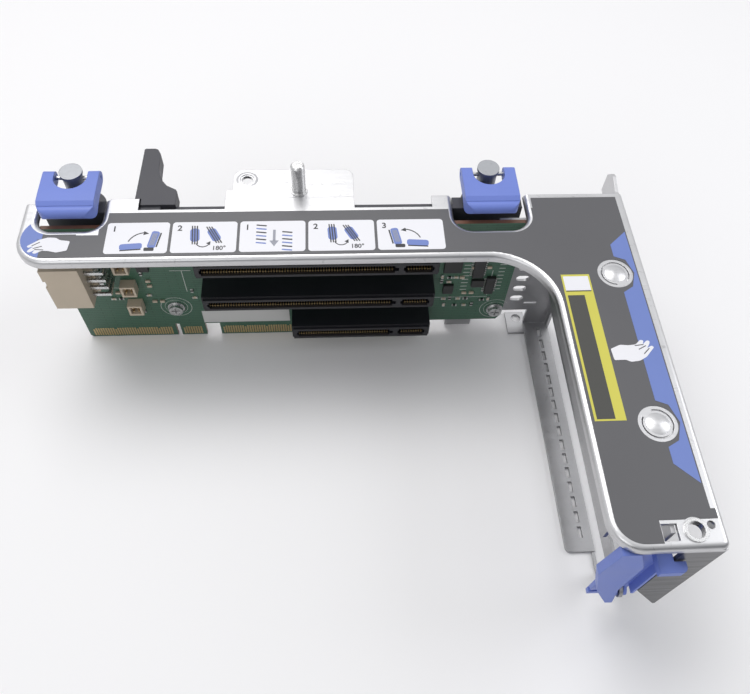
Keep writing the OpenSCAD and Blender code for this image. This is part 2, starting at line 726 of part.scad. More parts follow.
module bracket_lever() {
  top = top_z - 4;
  back = end_y + 3;
  thumb_r = (thumb_d - gap) / 2;
  seat() color(latch_blue) difference() {
    union() {
      // broad slanted face
      translate([0, back, 0]) rotate([90, 0, 0]) linear_extrude(3)
        polygon([[lever_x0, 47.7], [lever_x0 + 5.2, 28.4], [lever_x1 - 6, 12.8], [lever_x1 - 3.6, 12.8],
          [lever_x1 - 6.4, 28.7], [lever_x1 - 6.4, 52.9], [lever_x1 - 11.2, top],
          [lever_x0 + 1.8, top]]);
      // recessed face beside it, with its rim
      translate([lever_x1 - 12, back - e, 14]) cube([12, lever_t, 46]);
      translate([lever_x1 - 0.9, end_y, 24]) cube([0.9, 4, 34]);
      // hinge barrel
      translate([lever_x1 - 7.6, hinge_y, hinge_z]) rotate([0, 90, 0]) cylinder(r = 2.4, h = 7.6);
      // thumb tab
      translate([0, 0, thumb_z - 3]) linear_extrude(3) {
        translate([lever_x1 - 4.7, end_y - thumb_d]) square([6.1, thumb_d - gap]);
        translate([lever_x1 - 4.7, end_y - gap - thumb_r]) square([8.1, thumb_r]);
        translate([lever_x1 + 3.4 - thumb_r, end_y - gap - thumb_r]) circle(r = thumb_r);
        translate([lever_x1 - 4.7, end_y - 1]) square([4.7, 5]);
      }
      // rib behind the face
      translate([lever_x1 - 7.6, back, 30]) cube([1.8, 4, 30]);
    }
    translate([wall_x - gap, end_y - 1, 0]) cube([sheet_t + 2 * gap, 14, hinge_z + 4.2]);
    translate([lever_x1 - 12, hinge_y, hinge_z]) rotate([0, 90, 0]) cylinder(r = 1 + run, h = 20);
  }
}

module lever_pin() {
  seat() color(steel) translate([lever_x1 - 7.4, hinge_y, hinge_z]) rotate([0, 90, 0])
    cylinder(r = 1, h = 7.2);
}

// ---------- labels ----------

module on_top(z, h) translate([0, 0, z]) linear_extrude(h) children();

module label_outline() {
  g = lip_r;
  edge_gap = 3.2;
  difference() {
    union() {
      translate([end_r, g]) square([nl1 - end_r, end_r + 0.6 - g]);
      translate([nl1 - 0.1, g]) square([plate_len - 8 - nl1, 20]);
      translate([plate_len - 9, g]) square([9 - edge_gap, 20]);
      translate([g, end_r]) square([end_r, 0.6]);
      translate([end_r, end_r]) circle(r = end_r - g);
      translate([nr1 + lip_r + 0.6, g]) square([plate_len - edge_gap - nr1 - lip_r - 0.6, 25]);
      translate([inner_x + g, end_y + near_r]) square([leg_w - g - edge_gap, leg_len - near_r + g + 1]);
      difference() {
        translate([arc_x, -inner_r]) square([inner_r + g + 1, inner_r + g + 1]);
        translate([arc_x, -inner_r]) circle(r = inner_r + g);
      }
      translate([inner_x + near_r, end_y + near_r]) circle(r = near_r - g);
      translate([inner_x + near_r, end_y + g]) square([leg_w - near_r - g, near_r]);
    }
    notch_2d(nl0, nl1, notch_left_y, notch_r, lip_r + 0.5);
    notch_2d(nr0, nr1, notch_right_y, notch_r + 1, lip_r);
    translate([inner_x + 14.2, end_y - 1]) square([leg_w, 9.4]);
    for (y = [dome_y1, dome_y2]) translate([dome_x, y]) circle(r = 6.1);
    translate([ring_x, ring_y]) circle(r = ring_flange + gap);
  }
}

module plate_label() seat() color(label_grey) on_top(top_z, film) label_outline();

module label_blue() {
  seat() color(latch_blue) on_top(top_z + film, ink) {
    difference() {
      intersection() {
        label_outline();
        square([9, 40]);
      }
      translate([7.6, 5]) square([3, 5]);
    }
    polygon([[205.5, 3.9], [212, 9.8], [212, -85.6], [205.5, -79.3], [205.5, -74],
      [209.2, -72], [211.2, -66], [209.2, -60], [205.5, -58.4], [205.5, -17],
      [209.2, -14.6], [211, -8.8], [209.2, -3], [205.5, -1.4]]);
  }
}

module panel_2d(x0, x1) {
  translate([x0 + 1.2, 3.1]) square([x1 - x0 - 2.4, 13.9]);
  translate([x0, 4.3]) square([x1 - x0, 11.5]);
  for (x = [x0 + 1.2, x1 - 1.2]) for (y = [4.3, 15.8]) translate([x, y]) circle(r = 1.2, $fn = 20);
}

module label_panels() seat() color([0.9, 0.9, 0.92]) on_top(top_z + film, ink) {
  panel_2d(30.4, 51.7);
  panel_2d(52.7, 75);
  panel_2d(76, 98.7);
  panel_2d(99.7, 122.8);
  panel_2d(123.8, 147.3);
}

module label_marks() seat() color(latch_blue) on_top(top_z + film + ink, ink) {
  for (x = [34, 57, 80, 104, 128]) {
    translate([x, 6]) square([5, 5]);
    translate([x + 6.4, 7.6]) square([6, 1.6]);
    translate([x + 12, 8.4]) polygon([[0, -2], [2.6, 0], [0, 2]]);
  }
}

module hand_2d() {
  translate([0, -3]) square([7, 6]);
  translate([-7, 0.2]) square([8, 2]);
  translate([-7, 1.2]) circle(r = 1, $fn = 20);
  translate([7, -2]) square([3, 4]);
}

module label_hands() seat() color([0.9, 0.9, 0.92]) on_top(top_z + film + ink, ink) {
  translate([12, 7.4]) hand_2d();
  translate([203.2, -41]) rotate(150) hand_2d();
}

module sticker_yellow() seat() color([0.86, 0.82, 0.13]) on_top(top_z + film, ink)
  translate([inner_x + 2.7, -64.9]) square([9.8, 55.8]);

module sticker_dark() seat() color([0.13, 0.13, 0.12]) on_top(top_z + film + ink, ink)
  translate([inner_x + 3.4, -64.2]) square([5.6, 46.6]);

top_plate();
bracket_wall();
guide_pin();
ring_bushing();
rear_carrier();
board_standoffs();
riser_board();
edge_contacts();
upper_slot();
middle_slot();
lower_slot();
slot_contacts();
power_connector();
power_pins();
signal_headers();
header_pins();
board_chips();
board_parts();
board_screws();
screw_washers();
board_tag();
board_foot();
left_shaft();
left_spring();
left_clip();
left_hinge_pin();
left_handle();
right_shaft();
right_spring();
right_clip();
right_hinge_pin();
right_handle();
bracket_lever();
lever_pin();
plate_label();
label_blue();
label_panels();
label_marks();
label_hands();
sticker_yellow();
sticker_dark();
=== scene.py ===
import bpy
import bmesh
import json
import math
from mathutils import Matrix, Vector


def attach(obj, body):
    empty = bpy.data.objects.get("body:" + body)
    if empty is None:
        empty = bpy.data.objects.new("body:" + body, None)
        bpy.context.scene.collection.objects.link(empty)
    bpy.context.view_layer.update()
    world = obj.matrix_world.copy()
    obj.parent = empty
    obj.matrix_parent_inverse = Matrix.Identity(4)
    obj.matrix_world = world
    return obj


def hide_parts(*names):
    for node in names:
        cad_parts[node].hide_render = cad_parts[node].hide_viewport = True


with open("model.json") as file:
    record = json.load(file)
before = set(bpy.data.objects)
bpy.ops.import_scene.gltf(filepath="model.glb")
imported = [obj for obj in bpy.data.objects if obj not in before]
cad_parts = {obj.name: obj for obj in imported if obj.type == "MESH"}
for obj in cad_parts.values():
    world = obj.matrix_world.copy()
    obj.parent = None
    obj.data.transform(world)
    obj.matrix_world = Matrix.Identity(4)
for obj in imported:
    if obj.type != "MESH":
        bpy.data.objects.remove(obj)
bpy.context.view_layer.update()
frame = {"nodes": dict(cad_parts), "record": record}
MM = 0.001
scene = bpy.context.scene
nodes = frame["nodes"]


# ---------- shader groups ----------

def new_group(name, inputs, outputs):
    group = bpy.data.node_groups.new(name, "ShaderNodeTree")
    for label, kind, value in inputs:
        socket = group.interface.new_socket(name=label, in_out="INPUT", socket_type=kind)
        socket.default_value = value
    for label, kind in outputs:
        group.interface.new_socket(name=label, in_out="OUTPUT", socket_type=kind)
    return group, group.nodes.new("NodeGroupInput"), group.nodes.new("NodeGroupOutput")


def make_grain():
    """Fine moulded or sprayed grain: a height for bumps and a slow cloud for tone."""
    group, gin, gout = new_group("fine_grain",
                                 [("Scale", "NodeSocketFloat", 1500.0), ("Cloud Scale", "NodeSocketFloat", 40.0)],
                                 [("Height", "NodeSocketFloat"), ("Cloud", "NodeSocketFloat")])
    link, new = group.links.new, group.nodes.new
    coord = new("ShaderNodeTexCoord")
    fine = new("ShaderNodeTexNoise")
    fine.inputs["Detail"].default_value = 3.0
    cloud = new("ShaderNodeTexNoise")
    cloud.inputs["Detail"].default_value = 5.0
    cloud.inputs["Roughness"].default_value = 0.6
    link(coord.outputs["Object"], fine.inputs["Vector"])
    link(coord.outputs["Object"], cloud.inputs["Vector"])
    link(gin.outputs["Scale"], fine.inputs["Scale"])
    link(gin.outputs["Cloud Scale"], cloud.inputs["Scale"])
    link(fine.outputs["Fac"], gout.inputs["Height"])
    link(cloud.outputs["Fac"], gout.inputs["Cloud"])
    return group


def make_rub():
    """Edges that fingers and other metal have rubbed: a mask that is 1 on sharp edges."""
    group, gin, gout = new_group("rubbed_edges",
                                 [("Radius", "NodeSocketFloat", 0.0005), ("Gain", "NodeSocketFloat", 3.0)],
                                 [("Mask", "NodeSocketFloat"), ("Normal", "NodeSocketVector")])
    link, new = group.links.new, group.nodes.new
    bevel = new("ShaderNodeBevel")
    bevel.samples = 4
    geometry = new("ShaderNodeNewGeometry")
    dot = new("ShaderNodeVectorMath")
    dot.operation = "DOT_PRODUCT"
    flip = new("ShaderNodeMath")
    flip.operation = "SUBTRACT"
    flip.inputs[0].default_value = 1.0
    gain = new("ShaderNodeMath")
    gain.operation = "MULTIPLY"
    gain.use_clamp = True
    link(gin.outputs["Radius"], bevel.inputs["Radius"])
    link(bevel.outputs["Normal"], dot.inputs[0])
    link(geometry.outputs["Normal"], dot.inputs[1])
    link(dot.outputs["Value"], flip.inputs[1])
    link(flip.outputs["Value"], gain.inputs[0])
    link(gin.outputs["Gain"], gain.inputs[1])
    link(gain.outputs["Value"], gout.inputs["Mask"])
    link(bevel.outputs["Normal"], gout.inputs["Normal"])
    return group


def make_streaks():
    """Rolling marks that run along the sheet, with a few short scratches."""
    group, gin, gout = new_group("rolled_streaks",
                                 [("Along", "NodeSocketFloat", 30.0), ("Across", "NodeSocketFloat", 1800.0)],
                                 [("Streak", "NodeSocketFloat"), ("Scratch", "NodeSocketFloat")])
    link, new = group.links.new, group.nodes.new
    coord = new("ShaderNodeTexCoord")
    combine = new("ShaderNodeCombineXYZ")
    scale = new("ShaderNodeVectorMath")
    scale.operation = "MULTIPLY"
    noise = new("ShaderNodeTexNoise")
    noise.inputs["Scale"].default_value = 1.0
    noise.inputs["Detail"].default_value = 3.0
    voronoi = new("ShaderNodeTexNoise")
    voronoi.inputs["Scale"].default_value = 220.0
    voronoi.inputs["Detail"].default_value = 8.0
    voronoi.inputs["Distortion"].default_value = 2.5
    ramp = new("ShaderNodeValToRGB")
    ramp.color_ramp.elements[0].position = 0.62
    ramp.color_ramp.elements[1].position = 0.72
    link(gin.outputs["Along"], combine.inputs["X"])
    link(gin.outputs["Across"], combine.inputs["Y"])
    link(gin.outputs["Across"], combine.inputs["Z"])
    link(coord.outputs["Object"], scale.inputs[0])
    link(combine.outputs["Vector"], scale.inputs[1])
    link(scale.outputs["Vector"], noise.inputs["Vector"])
    link(coord.outputs["Object"], voronoi.inputs["Vector"])
    link(voronoi.outputs["Fac"], ramp.inputs["Fac"])
    link(noise.outputs["Fac"], gout.inputs["Streak"])
    link(ramp.outputs["Color"], gout.inputs["Scratch"])
    return group


grain_group, rub_group, streak_group = make_grain(), make_rub(), make_streaks()


def place(tree, group, **values):
    node = tree.nodes.new("ShaderNodeGroup")
    node.node_tree = group
    for label, value in values.items():
        node.inputs[label.replace("_", " ")].default_value = value
    return node


def mix_colour(tree, factor, low, high):
    node = tree.nodes.new("ShaderNodeMix")
    node.data_type = "RGBA"
    tree.links.new(factor, node.inputs["Factor"])
    for socket, value in (("A", low), ("B", high)):
        target = [s for s in node.inputs if s.name == socket and s.type == "RGBA"][0]
        if isinstance(value, bpy.types.NodeSocket):
            tree.links.new(value, target)
        else:
            target.default_value = (*value, 1.0)
    return [s for s in node.outputs if s.type == "RGBA"][0]


def span(tree, factor, low, high):
    node = tree.nodes.new("ShaderNodeMapRange")
    node.inputs["From Min"].default_value = 0.3
    node.inputs["From Max"].default_value = 0.7
    node.inputs["To Min"].default_value = low
    node.inputs["To Max"].default_value = high
    tree.links.new(factor, node.inputs["Value"])
    return node.outputs["Result"]


def shade(colour, k):
    return tuple(min(1.0, c * k) for c in colour)


def start_material(name):
    material = bpy.data.materials.new(name)
    material.use_nodes = True
    tree = material.node_tree
    shader = tree.nodes["Principled BSDF"]
    return material, tree, shader


def bump_to(tree, shader, height, depth, normal=None):
    bump = tree.nodes.new("ShaderNodeBump")
    bump.inputs["Strength"].default_value = 1.0
    bump.inputs["Distance"].default_value = depth
    tree.links.new(height, bump.inputs["Height"])
    if normal is not None:
        tree.links.new(normal, bump.inputs["Normal"])
    tree.links.new(bump.outputs["Normal"], shader.inputs["Normal"])


def moulded(name, colour, rough, grain=2200.0, depth=0.00003, tone=0.12, worn=0.25, worn_colour=None,
            edge=0.0004, cloud=45.0, spec=0.5):
    """Moulded plastic: slight tone clouds, fine grain, soft and slightly polished edges."""
    material, tree, shader = start_material(name)
    grain_node = place(tree, grain_group, Scale=grain, Cloud_Scale=cloud)
    rub = place(tree, rub_group, Radius=edge, Gain=worn * 4)
    body = mix_colour(tree, grain_node.outputs["Cloud"], shade(colour, 1 - tone), shade(colour, 1 + tone))
    final = mix_colour(tree, rub.outputs["Mask"], body, worn_colour or shade(colour, 1.5))
    tree.links.new(final, shader.inputs["Base Color"])
    gloss = span(tree, grain_node.outputs["Cloud"], rough - 0.06, rough + 0.06)
    tree.links.new(gloss, shader.inputs["Roughness"])
    shader.inputs["Specular IOR Level"].default_value = spec
    bump_to(tree, shader, grain_node.outputs["Height"], depth, rub.outputs["Normal"])
    return material


def sheet_metal(name, colour, rough, depth=0.00001, along=30.0, across=1800.0, edge=0.0003, scratch=0.25):
    """Plated sheet: rolled streaks, faint scratches, cloudy plating and bright edges."""
    material, tree, shader = start_material(name)
    streak = place(tree, streak_group, Along=along, Across=across)
    grain_node = place(tree, grain_group, Scale=900.0, Cloud_Scale=60.0)
    rub = place(tree, rub_group, Radius=edge, Gain=2.0)
    body = mix_colour(tree, grain_node.outputs["Cloud"], shade(colour, 0.86), shade(colour, 1.08))
    scratched = mix_colour(tree, streak.outputs["Scratch"], body, shade(colour, 1 - scratch))
    final = mix_colour(tree, rub.outputs["Mask"], scratched, shade(colour, 1.2))
    tree.links.new(final, shader.inputs["Base Color"])
    shader.inputs["Metallic"].default_value = 1.0
    gloss = span(tree, streak.outputs["Streak"], rough - 0.07, rough + 0.07)
    tree.links.new(gloss, shader.inputs["Roughness"])
    bump_to(tree, shader, streak.outputs["Streak"], depth, rub.outputs["Normal"])
    return material


def printed(name, colour, rough, tone=0.06, depth=0.000006):
    """Printed film: even ink with a faint orange peel and slow tone change."""
    material, tree, shader = start_material(name)
    grain_node = place(tree, grain_group, Scale=1300.0, Cloud_Scale=22.0)
    body = mix_colour(tree, grain_node.outputs["Cloud"], shade(colour, 1 - tone), shade(colour, 1 + tone))
    tree.links.new(body, shader.inputs["Base Color"])
    gloss = span(tree, grain_node.outputs["Cloud"], rough - 0.05, rough + 0.07)
    tree.links.new(gloss, shader.inputs["Roughness"])
    bump_to(tree, shader, grain_node.outputs["Height"], depth)
    return material


def laminate(name, mask_colour, trace_colour):
    """Circuit board: solder mask with traces that show as slightly lighter, raised lines."""
    material, tree, shader = start_material(name)
    link, new = tree.links.new, tree.nodes.new
    coord = new("ShaderNodeTexCoord")
    grid = new("ShaderNodeTexBrick")
    grid.offset = 0.37
    grid.squash = 1.0
    grid.inputs["Scale"].default_value = 90.0
    grid.inputs["Mortar Size"].default_value = 0.012
    grid.inputs["Brick Width"].default_value = 0.9
    grid.inputs["Row Height"].default_value = 0.11
    turn = new("ShaderNodeMapping")
    turn.inputs["Rotation"].default_value = (math.radians(90), 0, 0)
    cloud = place(tree, grain_group, Scale=1600.0, Cloud_Scale=30.0)
    link(coord.outputs["Object"], turn.inputs["Vector"])
    link(turn.outputs["Vector"], grid.inputs["Vector"])
    body = mix_colour(tree, cloud.outputs["Cloud"], shade(mask_colour, 0.8), shade(mask_colour, 1.25))
    lines = mix_colour(tree, grid.outputs["Fac"], trace_colour, body)
    geometry = new("ShaderNodeNewGeometry")
    apart = new("ShaderNodeSeparateXYZ")
    flat = new("ShaderNodeMath")
    flat.operation = "ABSOLUTE"
    face = new("ShaderNodeMath")
    face.operation = "GREATER_THAN"
    face.inputs[1].default_value = 0.5
    link(geometry.outputs["Normal"], apart.inputs["Vector"])
    link(apart.outputs["Y"], flat.inputs[0])
    link(flat.outputs["Value"], face.inputs[0])
    cut = mix_colour(tree, face.outputs["Value"], (0.16, 0.075, 0.045), lines)
    link(cut, shader.inputs["Base Color"])
    link(span(tree, cloud.outputs["Cloud"], 0.28, 0.42), shader.inputs["Roughness"])
    bump_to(tree, shader, grid.outputs["Fac"], 0.00002)
    return material


def plate_steel():
    """The plated sheet of the cage, with painted shade darkening the near end wall."""
    material = sheet_metal("plate_steel", (0.60, 0.60, 0.61), 0.34)
    tree = material.node_tree
    shader = tree.nodes["Principled BSDF"]
    link, new = tree.links.new, tree.nodes.new
    coord = new("ShaderNodeTexCoord")
    apart = new("ShaderNodeSeparateXYZ")
    link(coord.outputs["Object"], apart.inputs["Vector"])
    # Painted shade: the near end wall below the bend is masked by position and darkened in the base colour to stand
    # in for its shade.
    near = new("ShaderNodeMapRange")
    near.inputs["From Min"].default_value = -0.1236
    near.inputs["From Max"].default_value = -0.1243
    low = new("ShaderNodeMapRange")
    low.inputs["From Min"].default_value = 0.0668
    low.inputs["From Max"].default_value = 0.0655
    end_wall_shade = new("ShaderNodeMath")
    end_wall_shade.operation = "MULTIPLY"
    link(apart.outputs["Y"], near.inputs["Value"])
    link(apart.outputs["Z"], low.inputs["Value"])
    link(near.outputs["Result"], end_wall_shade.inputs[0])
    link(low.outputs["Result"], end_wall_shade.inputs[1])
    plain = shader.inputs["Base Color"].links[0].from_socket
    # painted shade colour for the near end wall
    link(mix_colour(tree, end_wall_shade.outputs["Value"], plain, (0.13, 0.13, 0.135)), shader.inputs["Base Color"])
    return material


FINISH = {
    "sheet_steel": plate_steel(),
    # inner_steel's base colour is set darker than the plate's as painted shade for the shaded inner web and foot.
    "inner_steel": sheet_metal("inner_steel", (0.42, 0.42, 0.43), 0.40, scratch=0.15),
    "turned_steel": sheet_metal("turned_steel", (0.60, 0.60, 0.60), 0.28, along=1500.0, across=1500.0),
    "carrier_plastic": moulded("carrier_plastic", (0.045, 0.045, 0.055), 0.5, worn=0.15),
    "board_laminate": laminate("board_laminate", (0.026, 0.075, 0.045), (0.045, 0.120, 0.075)),
    "gold_plate": sheet_metal("gold_plate", (0.62, 0.47, 0.25), 0.35, across=900.0),
    "slot_plastic": moulded("slot_plastic", (0.010, 0.010, 0.014), 0.45, worn=0.1),
    "beige_plastic": moulded("beige_plastic", (0.52, 0.44, 0.34), 0.5, worn=0.08),
    "chip_black": moulded("chip_black", (0.02, 0.02, 0.02), 0.5, worn=0.1),
    "paper_white": printed("paper_white", (0.55, 0.55, 0.54), 0.55),
    "latch_plastic": moulded("latch_plastic", (0.150, 0.215, 0.60), 0.45, worn=0.10),
    "latch_grey": sheet_metal("latch_grey", (0.36, 0.37, 0.39), 0.5, along=700.0, across=700.0),
    "tin_plate": sheet_metal("tin_plate", (0.62, 0.62, 0.60), 0.35, along=400.0),
    "label_film": printed("label_film", (0.095, 0.095, 0.102), 0.42),
    "label_ink_blue": printed("label_ink_blue", (0.150, 0.215, 0.52), 0.42),
    "label_ink_white": printed("label_ink_white", (0.80, 0.80, 0.84), 0.45),
    "sticker_ink_yellow": printed("sticker_ink_yellow", (0.60, 0.56, 0.09), 0.45),
    "sticker_ink_dark": printed("sticker_ink_dark", (0.05, 0.05, 0.045), 0.5),
    "label_ink_grey": printed("label_ink_grey", (0.30, 0.31, 0.36), 0.5),
    "pen_black": printed("pen_black", (0.03, 0.03, 0.035), 0.5),
    "silkscreen": printed("silkscreen", (0.55, 0.58, 0.55), 0.55),
}
slot_of = {part["node"]: part["material_slot"] for part in frame["record"]["subparts"]}


def dress(obj, finish):
    obj.data.materials.clear()
    obj.data.materials.append(FINISH[finish])


for name, obj in nodes.items():
    dress(obj, slot_of[name])

# ---------- making pieces; sizes in mm from the free end of the long arm ----------

HOLE = Vector((187.9, 21.05, 0.0))
TOP = 69.5
PRINT = TOP + 0.21
# front and back faces of the circuit board
FRONT = 16.85
BACK = 18.45


def piece(name, bm, body, finishes, replaces=()):
    bmesh.ops.translate(bm, verts=bm.verts, vec=-HOLE)
    bmesh.ops.scale(bm, verts=bm.verts, vec=(MM, MM, MM))
    bmesh.ops.recalc_face_normals(bm, faces=bm.faces)
    mesh = bpy.data.meshes.new(name)
    bm.to_mesh(mesh)
    bm.free()
    obj = bpy.data.objects.new(name, mesh)
    scene.collection.objects.link(obj)
    for finish in finishes:
        mesh.materials.append(FINISH[finish])
    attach(obj, body)
    if replaces:
        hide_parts(*replaces)
    return obj


def block(bm, low, high, paint=0, chamfer=0.0):
    made = bmesh.ops.create_cube(bm, size=1.0)["verts"]
    low, high = Vector(low), Vector(high)
    bmesh.ops.scale(bm, verts=made, vec=high - low)
    bmesh.ops.translate(bm, verts=made, vec=(low + high) / 2)
    faces = {f for v in made for f in v.link_faces}
    for face in faces:
        face.material_index = paint
    if chamfer:
        edges = list({e for f in faces for e in f.edges})
        bmesh.ops.bevel(bm, geom=edges, offset=chamfer, segments=2, affect="EDGES", profile=0.5, material=-1)


def stamp(bm, outline, z=PRINT, thick=0.04, paint=0, rounding=0.0, at=(0, 0), turn=0.0, scale=1.0):
    """A thin printed shape from its outline, with its corners rounded."""
    verts = [bm.verts.new((x * scale, y * scale, 0)) for x, y in outline]
    face = bm.faces.new(verts)
    if rounding:
        bmesh.ops.bevel(bm, geom=verts, offset=rounding, segments=4, affect="VERTICES",
                        profile=0.5, material=-1)
        face = [f for f in bm.faces if f.is_valid and len(f.verts) >= len(outline)
                and all(abs(v.co.z) < 1e-9 for v in f.verts)][-1]
    face.material_index = paint
    made = list(face.verts)
    grown = bmesh.ops.extrude_face_region(bm, geom=[face])["geom"]
    top = [g for g in grown if isinstance(g, bmesh.types.BMVert)]
    bmesh.ops.translate(bm, verts=top, vec=(0, 0, thick))
    for f in {f for v in made + top for f in v.link_faces}:
        f.material_index = paint
    bmesh.ops.rotate(bm, verts=made + top, cent=(0, 0, 0), matrix=Matrix.Rotation(math.radians(turn), 3, "Z"))
    bmesh.ops.translate(bm, verts=made + top, vec=(at[0], at[1], z))


def bar(w, h):
    return [(-w / 2, -h / 2), (w / 2, -h / 2), (w / 2, h / 2), (-w / 2, h / 2)]


def arc_band(r, width, a0, a1, steps=14):
    turnings = [math.radians(a0 + (a1 - a0) * i / steps) for i in range(steps + 1)]
    outer = [((r + width / 2) * math.cos(t), (r + width / 2) * math.sin(t)) for t in turnings]
    inner = [((r - width / 2) * math.cos(t), (r - width / 2) * math.sin(t)) for t in reversed(turnings)]
    return outer + inner


def numeral(bm, text, size, at, z=PRINT, paint=0):
    curve = bpy.data.curves.new("numeral", "FONT")
    curve.body = text
    curve.size = size
    curve.extrude = 0.02
    curve.offset = 0.02 * size
    holder = bpy.data.objects.new("numeral", curve)
    scene.collection.objects.link(holder)
    bpy.context.view_layer.update()
    mesh = bpy.data.meshes.new_from_object(holder.evaluated_get(bpy.context.evaluated_depsgraph_get()))
    before = set(bm.verts)
    bm.from_mesh(mesh)
    fresh = [v for v in bm.verts if v not in before]
    bmesh.ops.translate(bm, verts=fresh, vec=(at[0], at[1], z + 0.02))
    for f in {f for v in fresh for f in v.link_faces}:
        f.material_index = paint
    bpy.data.objects.remove(holder)
    bpy.data.meshes.remove(mesh)


HAND = [(7.4, -3.0), (8.3, 1.4), (4.6, 2.4), (3.2, 3.7), (0.2, 4.2), (-2.8, 3.5), (-5.4, 1.9), (-7.1, 0.9),
        (-6.7, 0.0), (-4.6, 0.5), (-6.4, -0.9), (-6.9, -2.0), (-5.9, -2.3), (-3.9, -1.2), (-5.0, -2.6),
        (-4.0, -3.2), (-1.6, -2.0), (0.8, -2.4), (3.6, -3.5)]


def make_label_figures():
    """Plain step figures: a handle that folds up, a latch that turns, and a press-down arrow."""
    bm = bmesh.new()
    blue, black, grey = 0, 1, 2
    for x, number in ((30.4, "1"), (52.7, "2"), (76.0, "1"), (99.7, "2"), (123.8, "3")):
        numeral(bm, number, 3.4, (x + 1.7, 13.1), paint=black)
    for x, side in ((41.5, 1), (135.5, -1)):
        stamp(bm, bar(7.6, 2.6), paint=blue, rounding=0.9, at=(x - side * 2.2, 6.2), turn=4 * side)
        stamp(bm, bar(7.0, 0.5), paint=black, at=(x - side * 2.2, 4.7), turn=4 * side)
        stamp(bm, bar(2.8, 7.6), paint=blue, rounding=0.9, at=(x + side * 5.2, 9.2), turn=-10 * side)
        stamp(bm, bar(0.5, 6.4), paint=black, at=(x + side * 7.0, 9.0), turn=-10 * side, z=PRINT + 0.02)
        stamp(bm, bar(3.4, 1.5), paint=black, rounding=0.4, at=(x + side * 4.0, 4.9))
        for k in range(4):
            stamp(bm, bar(0.26, 5.4), paint=grey, at=(x + side * (4.5 + 0.45 * k), 9.3),
                  turn=-10 * side, z=PRINT + 0.05)
        first, last = (95, 160) if side > 0 else (20, 85)
        stamp(bm, arc_band(6.0, 0.4, first, last), paint=black, at=(x + 2.4 * side, 6.4))
        stamp(bm, [(0, -0.9), (1.8, 0), (0, 0.9)], paint=black, at=(x + 1.6 * side, 12.2),
              turn=-8 if side > 0 else 188)
    for x in (62.0, 109.5):
        for dx, tilt in ((-1.4, 4), (5.2, 28)):
            stamp(bm, bar(3.2, 6.0), paint=blue, rounding=1.2, at=(x + dx, 11.0), turn=tilt)
            for k in (-1, 0, 1):
                stamp(bm, bar(0.42, 8.4), paint=black, at=(x + dx + k * 0.85, 11.0),
                      turn=tilt, z=PRINT + 0.03)
        stamp(bm, arc_band(2.4, 0.35, 200, 330), paint=black, at=(x + 1.6, 8.0))
        stamp(bm, [(0, -0.8), (1.5, 0), (0, 0.8)], paint=black, at=(x + 3.4, 6.8), turn=60)
        numeral(bm, "180\u00b0", 2.5, (x + 4.8, 4.2), paint=black)
    for x, top in ((83.4, 15.0), (92.4, 11.8)):
        for k in range(6):
            stamp(bm, bar(3.6, 0.55), paint=blue if k % 2 else black, rounding=0.2,
                  at=(x, top - 1.6 * k), turn=-7)
    stamp(bm, bar(0.9, 5.0), paint=grey, at=(87.9, 10.4))
    stamp(bm, [(-1.6, 0), (1.6, 0), (0, -2.6)], paint=grey, at=(87.9, 8.0))
    return piece("label_figures", bm, "cage",
                 ["label_ink_blue", "pen_black", "label_ink_grey"], ["label_marks"])


def make_hands():
    """Two plain reaching hands that point at the blue hold areas."""
    bm = bmesh.new()
    for at, turning, size in (((11.2, 6.9), 6, 0.92), ((203.4, -40.2), 196, 0.95)):
        stamp(bm, HAND, paint=0, rounding=0.45, at=at, turn=turning, scale=size)
        spot = Matrix.Rotation(math.radians(turning), 3, "Z")
        for crease, tilt in (((-3.9, 1.5), 28), ((-3.2, -0.2), 12), ((-2.6, -1.4), -10)):
            place_at = spot @ Vector((*crease, 0)) * size
            stamp(bm, bar(3.0, 0.28), paint=1, rounding=0.1, z=PRINT + 0.05,
                  at=(at[0] + place_at.x, at[1] + place_at.y), turn=turning + tilt)
    return piece("label_hand_signs", bm, "cage",
                 ["label_ink_white", "pen_black"], ["label_hands"])


def make_sticker():
    """Yellow strip label with a dark field, a solid band and a white box, all bare."""
    bm = bmesh.new()
    low, high = (185.3, -64.9), (195.1, -9.1)
    mid = ((low[0] + high[0]) / 2, (low[1] + high[1]) / 2)
    stamp(bm, bar(high[0] - low[0], high[1] - low[1]), z=TOP + 0.165, paint=0, at=mid)
    stamp(bm, bar(5.7, 46.4), z=TOP + 0.205, paint=1, at=(188.95, -41.1))
    stamp(bm, bar(8.6, 6.0), z=TOP + 0.205, paint=2, at=(190.2, -12.9))
    stamp(bm, bar(8.6, 0.35), z=TOP + 0.245, paint=1, at=(190.2, -16.15))
    return piece("strip_label", bm, "cage",
                 ["sticker_ink_yellow", "sticker_ink_dark", "label_ink_white"],
                 ["sticker_yellow", "sticker_dark"])


def make_slot_springs():
    """One contact spring per pole, in two rows in each slot."""
    bm = bmesh.new()
    for length, level in ((89.0, 2), (89.0, 1), (56.0, 0)):
        start = 58.0 + 89.0 - length
        z = 14.95 + 20.32 * level
        for side in (-1, 1):
            for k in range(int(length) - 3):
                x = start + 2.4 + k
                if not length - 17.5 < k + 2.4 < length - 12.2:
                    block(bm, (x, 6.75, z + side * 1.45 - 0.42), (x + 0.55, 11.0, z + side * 1.45 + 0.42))
    return piece("slot_springs", bm, "cage", ["gold_plate"], ["slot_contacts"])


def make_card_edge():
    """Gold fingers on both faces of the card edge."""
    bm = bmesh.new()
    for first, last in ((7.2, 40.7), (44.6, 53.0), (61.2, 141.0)):
        for k in range(int(last - first)):
            x = first + k
            for y in (FRONT - 0.06, BACK):
                block(bm, (x, y, 0.8), (x + 0.68, y + 0.06, 5.8 if k % 9 else 5.0))
    return piece("card_edge_fingers", bm, "cage", ["gold_plate"], ["edge_contacts"])


